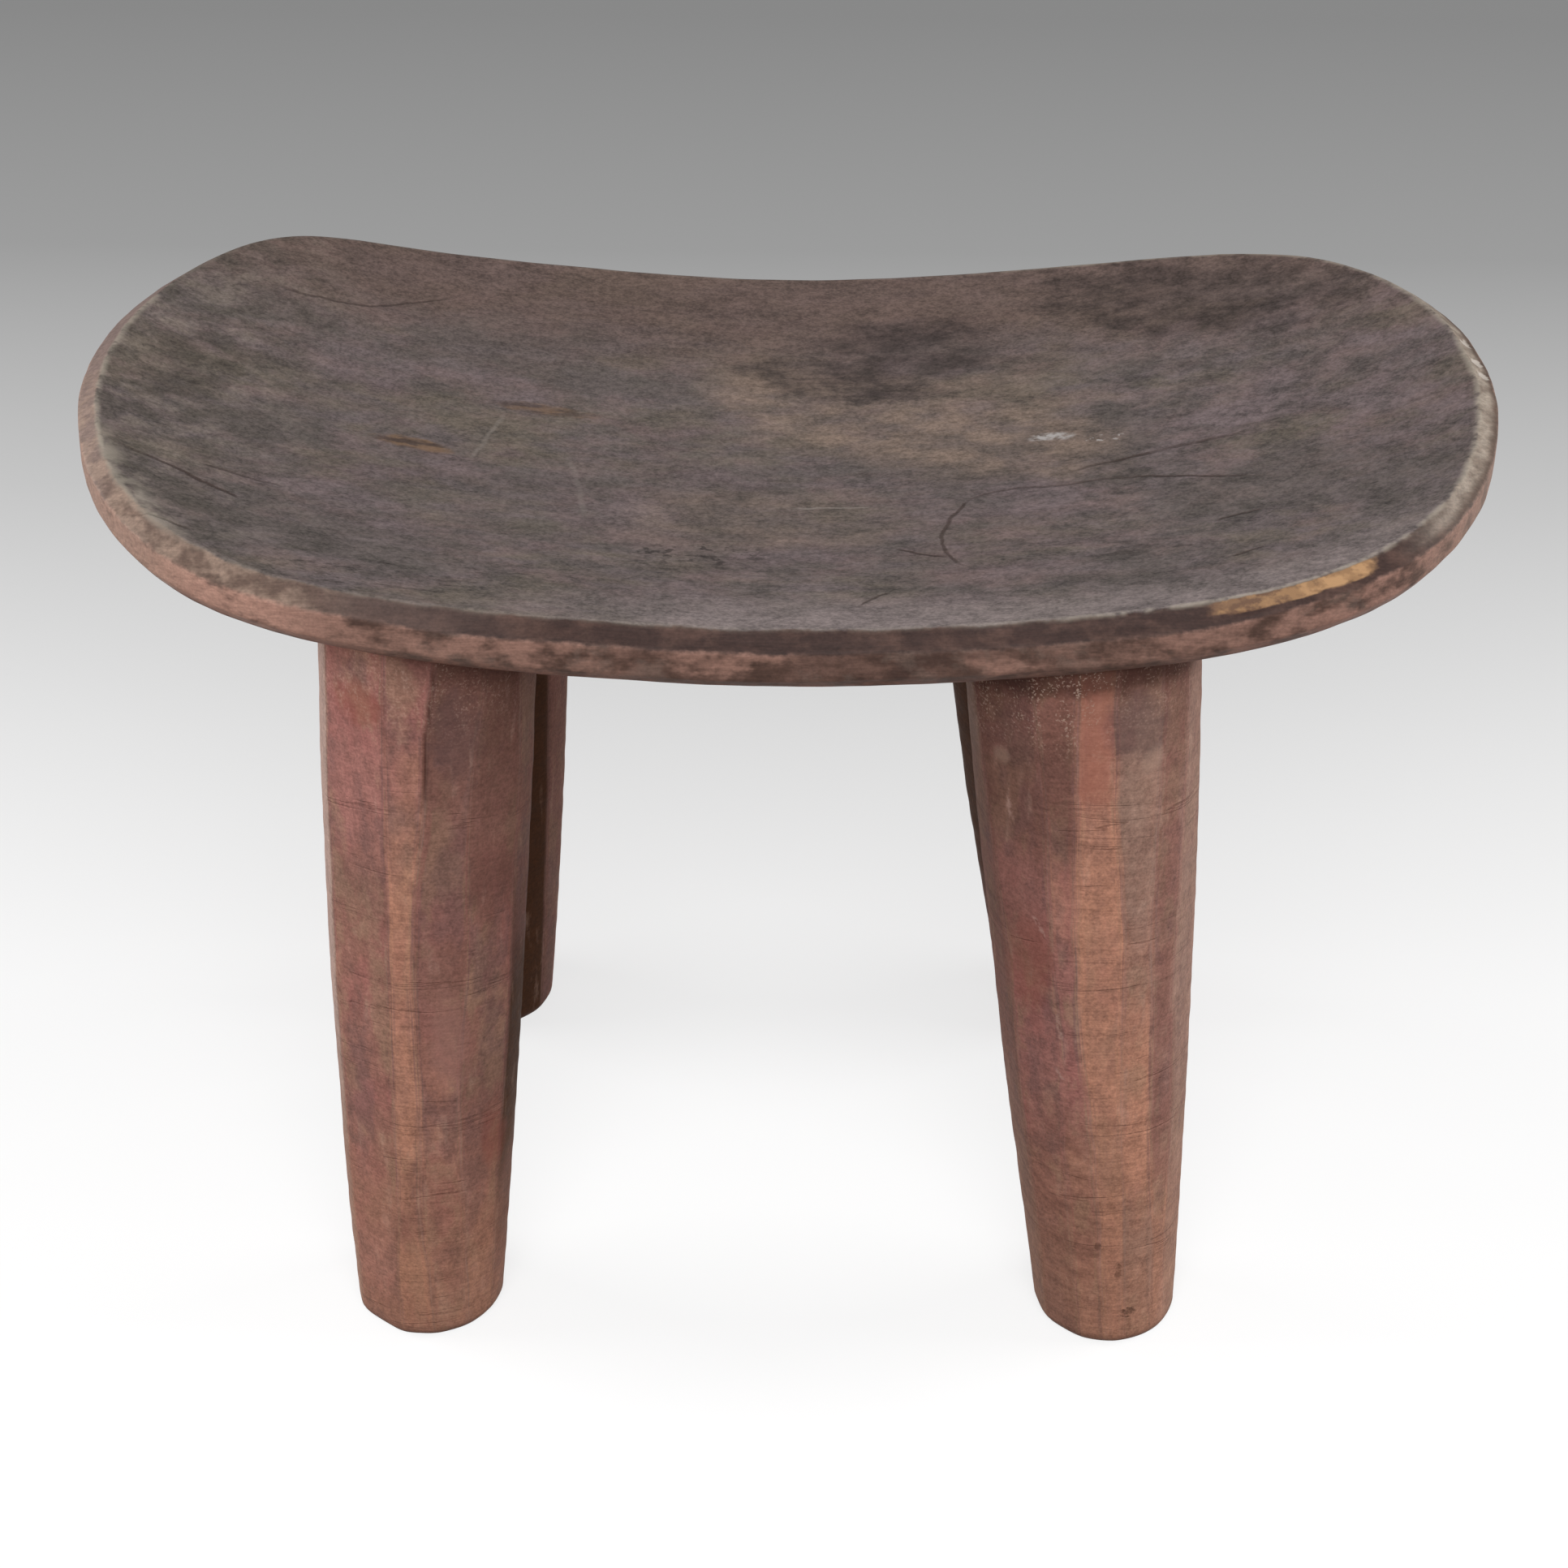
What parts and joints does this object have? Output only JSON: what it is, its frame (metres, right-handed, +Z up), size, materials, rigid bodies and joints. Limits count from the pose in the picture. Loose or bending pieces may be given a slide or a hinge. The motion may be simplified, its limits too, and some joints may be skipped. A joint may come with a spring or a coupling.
{
  "type": "carved wooden stool",
  "caption": "Low carved wooden stool with a dished, saddle-shaped oval seat and stout faceted legs that taper to the floor; a seat or small side table.",
  "frame": {"origin": "on the floor, below the middle of the seat", "axes": "+X along the seat to the viewer's right, +Y to the back, +Z up"},
  "size_m": [0.444, 0.255, 0.3133],
  "materials": {
    "seat_wood": "dull grey-brown handling patina over hardwood, worn pale on the lip",
    "leg_wood": "dull red-brown hardwood with adze facets and fine cross grain"
  },
  "bodies": {
    "root": {"seat": "seat_wood", "front_left_leg": "leg_wood", "front_right_leg": "leg_wood", "rear_left_leg": "leg_wood", "rear_right_leg": "leg_wood"}
  },
  "joints": []
}
